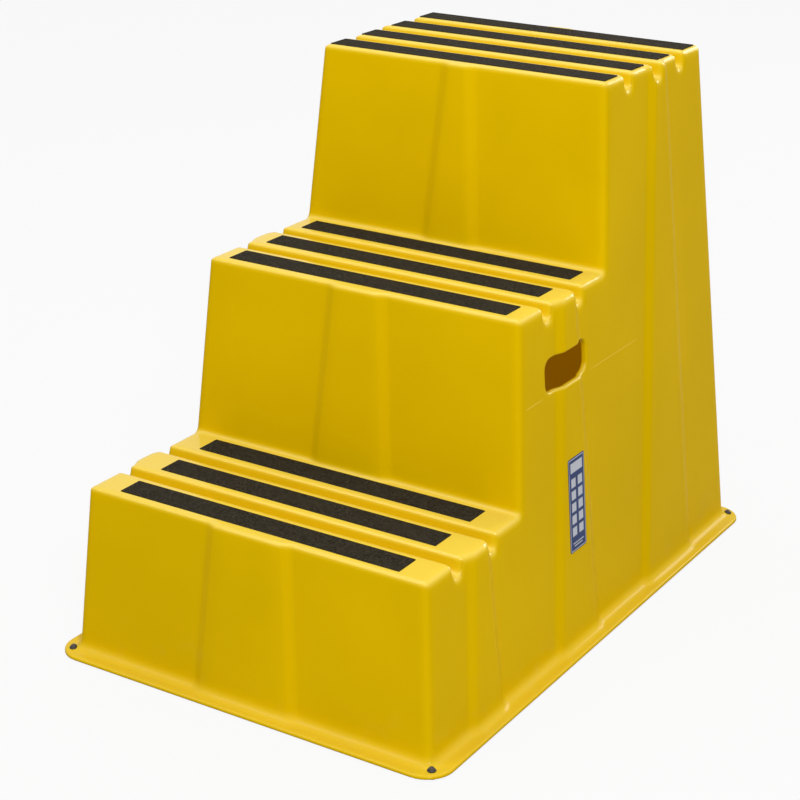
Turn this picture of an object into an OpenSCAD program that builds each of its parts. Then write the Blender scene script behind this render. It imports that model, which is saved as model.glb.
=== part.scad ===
// Three-tread mounting block: a hollow, open-bottomed plastic moulding with
// grooved treads, stiffening ribs, two hand slots, adhesive grip strips,
// push-through rubber feet and a blank side label.
// Millimetres, +Z up. The origin is on the ground at the centre of the base;
// X runs across the block and the rider climbs towards +Y.

/* [Moulded body] */
// Height of the top tread above the ground
block_height = 694; // [578:1:833]
// Width of the walls at the ground, left to right
base_width = 520; // [430:1:625]
// Wall thickness of the moulding
wall = 5; // [4:0.5:8]
// Inward lean of each side wall, per unit of height
side_lean = 0.0777; // [0.03:0.001:0.1]
// Backward lean of each riser, per unit of height
riser_lean = 0.0707; // [0.03:0.001:0.1]
// Forward lean of the back wall, per unit of height
back_lean = 0.0918; // [0.03:0.001:0.12]
// Flat bevel on upright corners
corner_bevel = 6; // [2:0.5:9]
// Flat bevel on the side edges of the treads
tread_bevel = 3.5; // [1:0.5:5]
// Rounding of the tread nosings
nosing_radius = 4.5; // [2:0.5:7]

/* [Treads] */
// Height of the lowest tread above the ground
low_tread_height = 227; // [185:1:275]
// Height of the middle tread above the ground
mid_tread_height = 462; // [400:1:560]
// Depth of the lowest tread, nosing to next riser
low_tread_depth = 212; // [175:1:256]
// Depth of the middle tread, nosing to next riser
mid_tread_depth = 215.5; // [178:0.5:260]
// Depth of the top tread, nosing to back wall
top_tread_depth = 273; // [226:1:330]
// Slats across each of the two lower treads
low_slats = 3; // [2:1:4]
// Slats across the top tread
top_slats = 4; // [3:1:5]
// Width of the grooves between slats
groove_width = 21.4; // [14:0.2:26]
// Width of the groove floor
groove_floor = 13; // [8:0.5:18]
// Depth of the grooves
groove_depth = 19; // [8:0.5:24]

/* [Ribs] */
// Height of the ribs above the wall
rib_height = 5.5; // [3:0.5:9]
// Width of each sloping rib flank
rib_flank = 14; // [8:0.5:20]
// Half width of the front and back ribs at the top of the block
front_rib_half = 25; // [18:0.5:30]
// Half width of each side rib at its tread
side_rib_half = 26; // [20:0.5:34]
// Shift of each side rib from the middle of its tread, towards the back
side_rib_shift = 5; // [3:0.5:7]
// Growth of the rib half width per unit of drop
rib_flare = 0.0745; // [0.04:0.0005:0.1]

/* [Hand slots] */
// Clear length of each hand slot
slot_length = 104; // [85:1:125]
// Clear height of each hand slot
slot_height = 42; // [34:1:52]
// Corner radius of the clear slot
slot_radius = 13; // [8:0.5:17]
// Distance of the slot centre below the middle tread
slot_drop = 87; // [80:1:110]
// Depth of the turned-in lip, from the wall face
lip_depth = 8; // [6:0.5:20]
// Bevel where the wall turns into the lip
lip_bevel = 3; // [2:0.5:5]

/* [Base flange] */
// Reach of the flange beyond the walls
flange_reach = 22; // [18:0.5:30]
// Thickness of the flange
flange_thick = 4.5; // [3.5:0.5:7]
// Radius of the flange corners
flange_radius = 36; // [24:1:45]
// Radius of the sweep from wall to flange
sweep_radius = 12; // [5:0.5:15]

/* [Rubber feet] */
// Distance of each foot from the two flange edges
foot_inset = 18.5; // [16:0.5:22]
// Diameter of the domed head above the flange
foot_head = 11; // [8:0.5:13]
// Height of the domed head
foot_dome = 5; // [3:0.5:7]
// Diameter of the stem through the flange
foot_stem = 6; // [4:0.5:8]
// Radial clearance of the stem in its hole
foot_play = 0.3; // [0.2:0.05:0.5]
// Diameter of the pad under the flange
foot_pad = 16; // [12:1:24]
// Thickness of the pad under the flange
pad_thick = 3; // [2:0.5:6]

/* [Grip strips] */
// Width of each grip strip
strip_width = 36; // [25:0.5:42]
// Thickness of each grip strip
strip_thick = 0.9; // [0.6:0.1:1.5]
// Distance from the strip ends to the edges of the top tread
strip_margin = 6.3; // [5:0.1:20]

/* [Side label] */
// Width of the blank label
label_width = 41.5; // [30:0.5:48]
// Height of the blank label
label_height = 124; // [90:1:140]
// Thickness of the blank label
label_thick = 0.4; // [0.3:0.1:0.8]
// Height of the label centre above the ground
label_rise = 196.5; // [150:0.5:220]
// Shift of the label centre from the rib centre, towards the back
label_shift = 6; // [0:0.5:9]

/* [Hidden] */

// Heights of the three treads
z_low = low_tread_height;
z_mid = mid_tread_height;
z_top = block_height;
// Depth of the walls at the ground: the treads and all the leans
base_depth = low_tread_depth + mid_tread_depth + top_tread_depth
    + (riser_lean + back_lean) * z_top;
// Feet of the three risers and of the back wall, and the tread nosings
y_riser_1 = -base_depth / 2;
y_nose_1 = y_riser_1 + riser_lean * z_low;
y_riser_2 = y_nose_1 + low_tread_depth;
y_nose_2 = y_riser_2 + riser_lean * (z_mid - z_low);
y_riser_3 = y_nose_2 + mid_tread_depth;
y_nose_3 = y_riser_3 + riser_lean * (z_top - z_mid);
y_back = base_depth / 2;
y_back_top = y_back - back_lean * z_top;
// Middle of each tread, front to back
y_mid_1 = (y_nose_1 + y_riser_2) / 2;
y_mid_2 = (y_nose_2 + y_riser_3) / 2;
y_mid_3 = (y_nose_3 + y_back_top) / 2;
// Slat pitches
pitch_1 = (y_riser_2 - y_nose_1 + groove_width) / low_slats;
pitch_2 = (y_riser_3 - y_nose_2 + groove_width) / low_slats;
pitch_3 = (y_back_top - y_nose_3 + groove_width) / top_slats;
// Flange levels and half sizes
flange_low = pad_thick;
flange_top = pad_thick + flange_thick;
sweep_top = flange_top + sweep_radius;
flange_half_x = base_width / 2 + flange_reach;
flange_half_y = base_depth / 2 + flange_reach;
// Feet, slot and label positions
foot_x = flange_half_x - foot_inset;
foot_y = flange_half_y - foot_inset;
slot_z = z_mid - slot_drop;
label_z = label_rise;
// Strip length, set by the narrowest tread
strip_length = 2 * (half_width(z_top) - strip_margin);
// Lean angles of the walls, and the slope of the rib flanks
side_angle = atan(side_lean);
riser_angle = atan(riser_lean);
back_angle = atan(back_lean);
flank_angle = atan(rib_height / rib_flank);
// Sizes for cutting blocks
big = 1200;
over = 60;
// Depth to which ribs reach into the wall
root = wall - 1;
profile_facets = 24;
round_facets = 48;

// Half width of the walls at height z
function half_width(z) = base_width / 2 - side_lean * z;
// Slat position i of n about a tread middle
function slat_y(middle, pitch, n, i) = middle + (i - (n - 1) / 2) * pitch;

// Convex corners rounded by a, concave corners by b
module soften(a, b) {
    offset(r = a) offset(delta = -a) offset(r = -b) offset(delta = b) children();
}

// One groove opening in the side view, at (y, z)
module groove_gap(y, z) {
    polygon([[y - groove_width / 2, z + over], [y - groove_width / 2, z],
        [y - groove_floor / 2, z - groove_depth], [y + groove_floor / 2, z - groove_depth],
        [y + groove_width / 2, z], [y + groove_width / 2, z + over]]);
}

// Side view of the stepped body with its grooves, down to height low
module stair_outline(low) {
    difference() {
        polygon([[y_riser_1 + riser_lean * low, low], [y_nose_1, z_low],
            [y_riser_2, z_low], [y_nose_2, z_mid], [y_riser_3, z_mid],
            [y_nose_3, z_top], [y_back_top, z_top], [y_back - back_lean * low, low]]);
        for (i = [0 : low_slats - 2]) {
            groove_gap(slat_y(y_mid_1, pitch_1, low_slats, i + 0.5), z_low);
            groove_gap(slat_y(y_mid_2, pitch_2, low_slats, i + 0.5), z_mid);
        }
        for (i = [0 : top_slats - 2])
            groove_gap(slat_y(y_mid_3, pitch_3, top_slats, i + 0.5), z_top);
    }
}

// Front view of the leaning side walls, set in by d, down to height low
module wall_outline(d, low) {
    polygon([[-half_width(low) + d, low], [half_width(low) - d, low],
        [half_width(z_top + over) - d, z_top + over],
        [-half_width(z_top + over) + d, z_top + over]]);
}

// Side view with the flange and its sweep
module stair_section() {
    soften(nosing_radius, nosing_radius)
        difference() {
            stair_outline(flange_low);
            translate([-big, flange_low - over]) square([2 * big, over]);
        }
    foot_section(flange_half_y, base_depth / 2, riser_lean, back_lean);
}

// Front view with the flange and its sweep
module wall_section() {
    wall_outline(0, flange_low);
    foot_section(flange_half_x, base_width / 2, side_lean, side_lean);
}

// Flange and sweep in one view; the walls rise at -half (lean a) and +half (lean b)
module foot_section(reach, half, a, b) {
    rise = flange_top + 2 * sweep_radius;
    soften(0, sweep_radius)
        union() {
            translate([-reach, flange_low]) square([2 * reach, flange_thick]);
            polygon([[-half + a * flange_low, flange_low], [half - b * flange_low, flange_low],
                [half - b * rise, rise], [-half + a * rise, rise]]);
        }
}

// Stretch a side view across the block, or a front view along it
module across() {
    rotate([90, 0, 90]) linear_extrude(height = 2 * big, center = true) children();
}
module along() {
    rotate([90, 0, 0]) linear_extrude(height = 2 * big, center = true) children();
}

// Everything beyond the plane through p with outward normal n
module beyond(p, n) {
    translate(p) rotate([0, acos(n[2] / norm(n)), atan2(n[1], n[0])])
        translate([-big, -big, 0]) cube([2 * big, 2 * big, big]);
}

// Bevel on an upright corner between heights low and high; dy is -1 front, +1 back
module corner_cut(s, y, z, dy, lean, low, high, d) {
    intersection() {
        beyond([s * (half_width(z) - corner_bevel - d), y - dy * d, z], [s, dy, side_lean + lean]);
        translate([-big, -big, low]) cube([2 * big, 2 * big, high - low]);
    }
}

// Bevel on the side edge of a tread, between two positions along the block
module tread_cut(s, z, y0, y1, d) {
    x = half_width(z) - tread_bevel - d;
    translate([0, y1, 0]) rotate([90, 0, 0]) linear_extrude(height = y1 - y0)
        polygon([[s * (x - 8), z - d + 8], [s * (x + over), z - d - over],
            [s * (x + over), z - d + 8]]);
}

// All bevels, for the outer body (d = 0) or for the cavity (d = wall)
module bevels(d) {
    for (s = [-1, 1]) {
        corner_cut(s, y_riser_1, 0, -1, riser_lean, d > 0 ? -over : sweep_top, z_low + over, d);
        corner_cut(s, y_riser_2, z_low, -1, riser_lean, z_low - d, z_mid + over, d);
        corner_cut(s, y_riser_3, z_mid, -1, riser_lean, z_mid - d, z_top + over, d);
        corner_cut(s, y_back, 0, 1, back_lean, d > 0 ? -over : sweep_top, z_top + over, d);
        tread_cut(s, z_low, y_riser_1 - over, y_riser_2 + d, d);
        tread_cut(s, z_mid, y_riser_2 - over, y_riser_3 + d, d);
        tread_cut(s, z_top, y_riser_3 - over, y_back + over, d);
    }
}

// Everything under one sloping rib flank; s is -1 for the left flank, +1 for the right
module under_flank(s, foot_half) {
    translate([s * foot_half, 0, 0]) rotate([0, 0, s * atan(rib_flare)])
        rotate([0, s * flank_angle, 0])
            translate([-big, -big, -big]) cube([2 * big, 2 * big, big]);
}

// Rib on the plane z = 0, running up +Y from half width foot_half, set down by d
module rib(foot_half, length, d) {
    translate([0, 0, -d])
        intersection() {
            translate([-big / 2, -over, -root]) cube([big, length + over, rib_height + root]);
            under_flank(-1, foot_half);
            under_flank(1, foot_half);
            translate([0, length, rib_height - nosing_radius]) rotate([-45, 0, 0])
                translate([-big, -big, -big]) cube([2 * big, 2 * big, big]);
        }
}

// Wall frames: X along the wall, Y up its lean, Z outwards
module on_side(s, y, z) {
    translate([s * half_width(z), y, z]) rotate([0, -s * side_angle, 0])
        rotate([90, 0, s * 90]) children();
}
module on_riser(y, z) {
    translate([0, y, z]) rotate([-riser_angle, 0, 0]) rotate([90, 0, 0]) children();
}
module on_back(z) {
    translate([0, y_back - back_lean * z, z]) rotate([back_angle, 0, 0])
        rotate([90, 0, 180]) children();
}

// Side ribs, one per step on each side
module side_ribs(d) {
    intersection() {
        for (s = [-1, 1]) {
            on_side(s, y_mid_1 + side_rib_shift, 0) rib(side_rib_half + rib_flare * z_low, z_low + over, d);
            on_side(s, y_mid_2 + side_rib_shift, 0) rib(side_rib_half + rib_flare * z_mid, z_mid + over, d);
            on_side(s, y_mid_3 + side_rib_shift, 0) rib(side_rib_half + rib_flare * z_top, z_top + over, d);
        }
        if (d > 0)
            across() offset(delta = -d) stair_outline(-over);
        else
            across() stair_section();
    }
}

// Front ribs on the three risers and one rib on the back wall
module end_ribs(d) {
    above(d > 0 ? -over : flange_low) {
        on_riser(y_riser_1, 0) rib(rib_half(0), (z_low - d) / cos(riser_angle), d);
        on_back(0) rib(rib_half(0), (z_top - d) / cos(back_angle), d);
    }
    above(z_low - wall / 2 - d)
        on_riser(y_riser_2, z_low) rib(rib_half(z_low), (z_mid - z_low - d) / cos(riser_angle), d);
    above(z_mid - wall / 2 - d)
        on_riser(y_riser_3, z_mid) rib(rib_half(z_mid), (z_top - z_mid - d) / cos(riser_angle), d);
}

// Only what lies above height low
module above(low) {
    intersection() {
        union() children();
        translate([-big, -big, low]) cube([2 * big, 2 * big, big]);
    }
}

// Half width of the front and back ribs at height z
function rib_half(z) = front_rib_half + rib_flare * (z_top - z);

// Rounded bar of length l, height h and corner radius r, from z = 0 to z = t
module rounded_bar(l, h, r, t) {
    translate([-l / 2 + r, -h / 2, 0]) cube([l - 2 * r, h, t]);
    translate([-l / 2, -h / 2 + r, 0]) cube([l, h - 2 * r, t]);
    for (i = [-1, 1], j = [-1, 1])
        translate([i * (l / 2 - r), j * (h / 2 - r), 0]) cylinder(r = r, h = t, $fn = round_facets);
}

// Bevel around a rounded bar, growing by b over a rise of b
module bar_bevel(l, h, r, b) {
    translate([l / 2 - r, 0, 0]) rotate([90, 0, -90]) linear_extrude(height = l - 2 * r)
        polygon([[-h / 2, 0], [h / 2, 0], [h / 2 + b, b], [-h / 2 - b, b]]);
    translate([0, h / 2 - r, 0]) rotate([90, 0, 0]) linear_extrude(height = h - 2 * r)
        polygon([[-l / 2, 0], [l / 2, 0], [l / 2 + b, b], [-l / 2 - b, b]]);
    for (i = [-1, 1], j = [-1, 1])
        translate([i * (l / 2 - r), j * (h / 2 - r), 0])
            cylinder(r1 = r, r2 = r + b, h = b, $fn = round_facets);
}

// Solid behind the turned-in lip, and the clear opening through it
module lip_block() {
    for (s = [-1, 1]) on_side(s, y_mid_2, slot_z)
        translate([0, 0, -lip_depth])
            rounded_bar(slot_length + 2 * wall, slot_height + 2 * wall, slot_radius + wall, lip_depth + 1);
}
module slot_cut() {
    for (s = [-1, 1]) on_side(s, y_mid_2, slot_z) {
        translate([0, 0, -lip_depth - over])
            rounded_bar(slot_length, slot_height, slot_radius, lip_depth + over + rib_height + 2);
        translate([0, 0, -lip_bevel]) bar_bevel(slot_length, slot_height, slot_radius, lip_bevel);
        rounded_bar(slot_length + 2 * lip_bevel, slot_height + 2 * lip_bevel,
            slot_radius + lip_bevel, rib_height + 2);
    }
}

// Square corner outside the flange rounding
module flange_corner(sx, sy) {
    span = flange_radius + 10;
    translate([sx * (flange_half_x - flange_radius), sy * (flange_half_y - flange_radius), -over])
        difference() {
            translate([sx * span / 2, sy * span / 2, over]) cube([span, span, 2 * over], center = true);
            cylinder(r = flange_radius, h = 8 * over, $fn = round_facets, center = true);
        }
}

// The one-piece moulding
module moulded_shell() {
    color([0.89, 0.72, 0.1])
    difference() {
        union() {
            difference() {
                intersection() {
                    across() stair_section();
                    along() wall_section();
                }
                bevels(0);
                for (sx = [-1, 1], sy = [-1, 1]) flange_corner(sx, sy);
            }
            side_ribs(0);
            end_ribs(0);
        }
        difference() {
            union() {
                difference() {
                    intersection() {
                        across() offset(delta = -wall) stair_outline(-over);
                        along() wall_outline(wall, -over);
                    }
                    bevels(wall);
                }
                side_ribs(wall);
                end_ribs(wall);
            }
            lip_block();
        }
        slot_cut();
        for (sx = [-1, 1], sy = [-1, 1]) translate([sx * foot_x, sy * foot_y, 0]) {
            cylinder(d = foot_stem + 2 * foot_play, h = over, $fn = round_facets);
            translate([0, 0, flange_top]) cylinder(d = foot_head + 3, h = sweep_radius, $fn = round_facets);
        }
    }
}

// Adhesive grip strip number i of n on a tread
module grip_strip(middle, pitch, n, i, z) {
    color([0.13, 0.12, 0.11])
    translate([-strip_length / 2, slat_y(middle, pitch, n, i) - strip_width / 2, z])
        cube([strip_length, strip_width, strip_thick]);
}
module low_strip_front() {
    grip_strip(y_mid_1, pitch_1, low_slats, 0, z_low);
}
module low_strip_centre() {
    grip_strip(y_mid_1, pitch_1, low_slats, 1, z_low);
}
module low_strip_rear() {
    grip_strip(y_mid_1, pitch_1, low_slats, low_slats - 1, z_low);
}
module mid_strip_front() {
    grip_strip(y_mid_2, pitch_2, low_slats, 0, z_mid);
}
module mid_strip_centre() {
    grip_strip(y_mid_2, pitch_2, low_slats, 1, z_mid);
}
module mid_strip_rear() {
    grip_strip(y_mid_2, pitch_2, low_slats, low_slats - 1, z_mid);
}
module top_strip_front() {
    grip_strip(y_mid_3, pitch_3, top_slats, 0, z_top);
}
module top_strip_second() {
    grip_strip(y_mid_3, pitch_3, top_slats, 1, z_top);
}
module top_strip_third() {
    grip_strip(y_mid_3, pitch_3, top_slats, 2, z_top);
}
module top_strip_rear() {
    grip_strip(y_mid_3, pitch_3, top_slats, top_slats - 1, z_top);
}

// Push-through rubber foot: pad under the flange, stem, domed head above it
module rubber_foot(sx, sy) {
    dome_sphere = (foot_head * foot_head / 4 + foot_dome * foot_dome) / (2 * foot_dome);
    color([0.07, 0.07, 0.07])
    translate([sx * foot_x, sy * foot_y, 0]) {
        cylinder(d = foot_pad, h = pad_thick, $fn = round_facets);
        cylinder(d = foot_stem, h = flange_top + 0.5, $fn = round_facets);
        intersection() {
            translate([0, 0, flange_top + foot_dome - dome_sphere])
                sphere(r = dome_sphere, $fn = round_facets);
            translate([0, 0, flange_top]) cylinder(d = foot_head, h = foot_dome, $fn = round_facets);
        }
    }
}
module foot_front_left() {
    rubber_foot(-1, -1);
}
module foot_front_right() {
    rubber_foot(1, -1);
}
module foot_back_left() {
    rubber_foot(-1, 1);
}
module foot_back_right() {
    rubber_foot(1, 1);
}

// Blank label on the middle rib of the right wall
module side_label() {
    color([0.1, 0.13, 0.32])
    on_side(1, y_mid_2 + label_shift, label_z)
        translate([-label_width / 2, -label_height / 2, rib_height])
            cube([label_width, label_height, label_thick]);
}

moulded_shell();
low_strip_front();
low_strip_centre();
low_strip_rear();
mid_strip_front();
mid_strip_centre();
mid_strip_rear();
top_strip_front();
top_strip_second();
top_strip_third();
top_strip_rear();
foot_front_left();
foot_front_right();
foot_back_left();
foot_back_right();
side_label();
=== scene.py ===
"""Visual model of a three-tread plastic mounting block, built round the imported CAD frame."""

import math

import bmesh
import bpy
import numpy as np
from bpy.props import FloatProperty, FloatVectorProperty, IntProperty, PointerProperty, StringProperty
from mathutils import Matrix, Vector


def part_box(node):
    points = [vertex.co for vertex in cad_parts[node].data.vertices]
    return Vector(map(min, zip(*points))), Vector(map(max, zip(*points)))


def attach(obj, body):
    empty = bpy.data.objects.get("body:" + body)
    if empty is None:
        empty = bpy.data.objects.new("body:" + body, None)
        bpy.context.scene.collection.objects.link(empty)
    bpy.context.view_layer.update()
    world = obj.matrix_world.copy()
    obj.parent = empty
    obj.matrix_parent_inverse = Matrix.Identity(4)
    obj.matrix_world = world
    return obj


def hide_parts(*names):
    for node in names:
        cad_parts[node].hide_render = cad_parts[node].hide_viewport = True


bl_info = {
    "name": "Mounting block",
    "version": (1, 0, 0),
    "blender": (4, 5, 0),
    "location": "3D View > Sidebar > Mounting block",
    "description": "Builds a three-tread plastic mounting block with its strips, feet, label and stage",
    "category": "Add Mesh",
}

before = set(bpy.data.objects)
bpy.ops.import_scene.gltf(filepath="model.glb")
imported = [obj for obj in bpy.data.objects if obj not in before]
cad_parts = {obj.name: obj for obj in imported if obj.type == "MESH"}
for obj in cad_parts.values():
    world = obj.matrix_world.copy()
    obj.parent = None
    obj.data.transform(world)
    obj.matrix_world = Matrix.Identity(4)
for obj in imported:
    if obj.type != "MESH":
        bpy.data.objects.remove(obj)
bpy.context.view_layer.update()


def top_of(node):
    """Height of the lowest face of a CAD node, in metres."""
    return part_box(node)[0][2]


# ---------------------------------------------------------------- settings


class ShellSettings(bpy.types.PropertyGroup):
    """Sizes and colour of the moulded body."""

    base_width: FloatProperty(name="Base width", description="Width of the walls at the ground",
                              default=0.520, unit="LENGTH")
    block_height: FloatProperty(name="Block height", description="Height of the top tread",
                                default=top_of("top_strip_front"), unit="LENGTH")
    mid_tread_height: FloatProperty(name="Middle tread", description="Height of the middle tread",
                                    default=top_of("mid_strip_front"), unit="LENGTH")
    low_tread_height: FloatProperty(name="Lowest tread", description="Height of the lowest tread",
                                    default=top_of("low_strip_front"), unit="LENGTH")
    low_tread_depth: FloatProperty(name="Lowest tread depth", description="Nosing to next riser",
                                   default=0.212, unit="LENGTH")
    mid_tread_depth: FloatProperty(name="Middle tread depth", description="Nosing to next riser",
                                   default=0.2155, unit="LENGTH")
    top_tread_depth: FloatProperty(name="Top tread depth", description="Nosing to back wall",
                                   default=0.273, unit="LENGTH")
    side_lean: FloatProperty(name="Side lean", description="Inward lean of the side walls", default=0.0777)
    riser_lean: FloatProperty(name="Riser lean", description="Backward lean of the risers", default=0.0707)
    back_lean: FloatProperty(name="Back lean", description="Forward lean of the back wall", default=0.0918)
    wall: FloatProperty(name="Wall", description="Thickness of the moulding", default=0.005, unit="LENGTH")
    corner_radius: FloatProperty(name="Corner radius", description="Rounding of the side edges",
                                 default=0.009, unit="LENGTH")
    nosing_radius: FloatProperty(name="Nosing radius", description="Rounding of the tread nosings",
                                 default=0.0055, unit="LENGTH")
    foot_radius: FloatProperty(name="Riser foot radius", description="Rounding where a riser meets a tread",
                               default=0.006, unit="LENGTH")
    groove_width: FloatProperty(name="Groove width", description="Width of a groove at the tread",
                                default=0.0214, unit="LENGTH")
    groove_floor: FloatProperty(name="Groove floor", description="Width of a groove at its floor",
                                default=0.013, unit="LENGTH")
    groove_depth: FloatProperty(name="Groove depth", description="Depth of a groove",
                                default=0.019, unit="LENGTH")
    rib_height: FloatProperty(name="Rib height", description="Height of the ribs above the wall",
                              default=0.0055, unit="LENGTH")
    rib_flank: FloatProperty(name="Rib flank", description="Width of a sloping rib flank",
                             default=0.014, unit="LENGTH")
    front_rib_half: FloatProperty(name="Front rib", description="Half width of the front rib at the top",
                                  default=0.025, unit="LENGTH")
    side_rib_half: FloatProperty(name="Side rib", description="Half width of a side rib at its tread",
                                 default=0.026, unit="LENGTH")
    side_rib_shift: FloatProperty(name="Side rib shift", description="Shift of a side rib towards the back",
                                  default=0.005, unit="LENGTH")
    rib_flare: FloatProperty(name="Rib flare", description="Growth of the ribs per unit of drop",
                             default=0.0745)
    slot_length: FloatProperty(name="Slot length", description="Clear length of a hand slot",
                               default=0.104, unit="LENGTH")
    slot_height: FloatProperty(name="Slot height", description="Clear height of a hand slot",
                               default=0.042, unit="LENGTH")
    slot_radius: FloatProperty(name="Slot radius", description="Corner radius of the clear slot",
                               default=0.013, unit="LENGTH")
    slot_drop: FloatProperty(name="Slot drop", description="Slot centre below the middle tread",
                             default=0.087, unit="LENGTH")
    lip_depth: FloatProperty(name="Lip depth", description="Depth of the turned-in lip",
                             default=0.008, unit="LENGTH")
    lip_radius: FloatProperty(name="Lip radius", description="Rounding of the turned-in lip",
                              default=0.003, unit="LENGTH")
    flange_low: FloatProperty(name="Flange level", description="Height of the underside of the flange",
                              default=0.003, unit="LENGTH")
    flange_thick: FloatProperty(name="Flange thickness", description="Thickness of the flange",
                                default=0.0045, unit="LENGTH")
    flange_radius: FloatProperty(name="Flange radius", description="Radius of the flange corners",
                                 default=0.036, unit="LENGTH")
    flange_edge: FloatProperty(name="Flange edge", description="Rounding of the flange's upper edge",
                               default=0.0028, unit="LENGTH")
    sweep_radius: FloatProperty(name="Sweep radius", description="Sweep from wall to flange",
                                default=0.012, unit="LENGTH")
    fine: FloatProperty(name="Fine step", description="Grid step at rounded edges",
                        default=0.0017, unit="LENGTH")
    coarse: FloatProperty(name="Coarse step", description="Largest grid step on flat walls",
                          default=0.036, unit="LENGTH")
    colour: FloatVectorProperty(name="Colour", description="Colour of the plastic", subtype="COLOR",
                                default=(0.655, 0.420, 0.0))


class StripSettings(bpy.types.PropertyGroup):
    """Sizes and colour of the grip strips."""

    plan_radius: FloatProperty(name="Corner", description="Corner radius in plan", default=0.0012, unit="LENGTH")
    edge_radius: FloatProperty(name="Edge", description="Rounding of the upper edge", default=0.0004, unit="LENGTH")
    colour: FloatVectorProperty(name="Colour", description="Colour of the grit", subtype="COLOR",
                                default=(0.019, 0.0160, 0.0105))


class FootSettings(bpy.types.PropertyGroup):
    """Sizes and colour of the rubber feet."""

    stem: FloatProperty(name="Stem", description="Diameter of the stem", default=0.006, unit="LENGTH")
    head: FloatProperty(name="Head", description="Diameter of the head", default=0.011, unit="LENGTH")
    turns: IntProperty(name="Turns", description="Steps round each foot", default=64)
    colour: FloatVectorProperty(name="Colour", description="Colour of the rubber", subtype="COLOR",
                                default=(0.018, 0.016, 0.014))


class LabelSettings(bpy.types.PropertyGroup):
    """Colours of the blank label."""

    colour: FloatVectorProperty(name="Film", description="Colour of the film", subtype="COLOR",
                                default=(0.016, 0.034, 0.120))
    border: FloatVectorProperty(name="Border", description="Colour of the border", subtype="COLOR",
                                default=(0.70, 0.72, 0.76))


class StageSettings(bpy.types.PropertyGroup):
    """Floor, light and camera."""

    azimuth: FloatProperty(name="Azimuth", description="Camera azimuth", default=math.radians(32.1885),
                           subtype="ANGLE")
    elevation: FloatProperty(name="Elevation", description="Camera elevation", default=math.radians(21.6847),
                             subtype="ANGLE")
    roll: FloatProperty(name="Roll", description="Camera roll", default=math.radians(0.3541), subtype="ANGLE")
    lens: FloatProperty(name="Lens", description="Focal length in millimetres", default=90.0)
    camera_place: FloatVectorProperty(name="Camera place", description="Camera position in metres",
                                      default=(1.26351, -2.07058, 1.22700))
    floor_colour: FloatVectorProperty(name="Floor", description="Colour of the floor", subtype="COLOR",
                                      default=(0.42, 0.42, 0.42))


# ---------------------------------------------------------------- shapes


def round_max(a, b, r):
    """Larger of two distances with its edge rounded: both grown by r, the root of the sum of their
    squares where positive, less r."""
    return np.minimum(np.maximum(a, b), -r) + np.hypot(np.maximum(a + r, 0), np.maximum(b + r, 0))


def round_min(a, b, r):
    """Smaller of two distances with its inner corner filled by radius r, the mirror of round_max."""
    return -round_max(-a, -b, r)


def soft_ramp(t, e):
    """Zero below 0, one above 1 and a straight ramp between, with its two bends rounded over plus and
    minus e: the running mean of the sharp ramp over a window of 2 e."""
    def area(q):
        return np.where(q > 1, q - 0.5, np.maximum(q, 0) ** 2 / 2)
    return (area(t + e) - area(t - e)) / (2 * e)


def spaced(start, end, fine, coarse, growth=1.55):
    """Samples from start to end whose steps grow by a fixed ratio from fine at both ends to coarse."""
    length = abs(end - start)
    reach = np.cumsum(np.minimum(fine * growth ** np.arange(80), coarse))
    half = reach[: np.searchsorted(reach, length / 2) + 1]
    half = np.concatenate([[0.0], half]) * (length / 2) / half[-1]
    path = np.concatenate([half, length - half[-2::-1]])
    return start + math.copysign(1.0, end - start) * path


def grid_quads(rows, cols, keep=None):
    """Corner numbers of the quads of a grid stored row by row, all of them or those kept."""
    i = np.arange(rows * cols).reshape(rows, cols)
    q = np.stack([i[:-1, :-1], i[:-1, 1:], i[1:, 1:], i[1:, :-1]], axis=-1)
    return q.reshape(-1, 4) if keep is None else q[keep]


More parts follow.
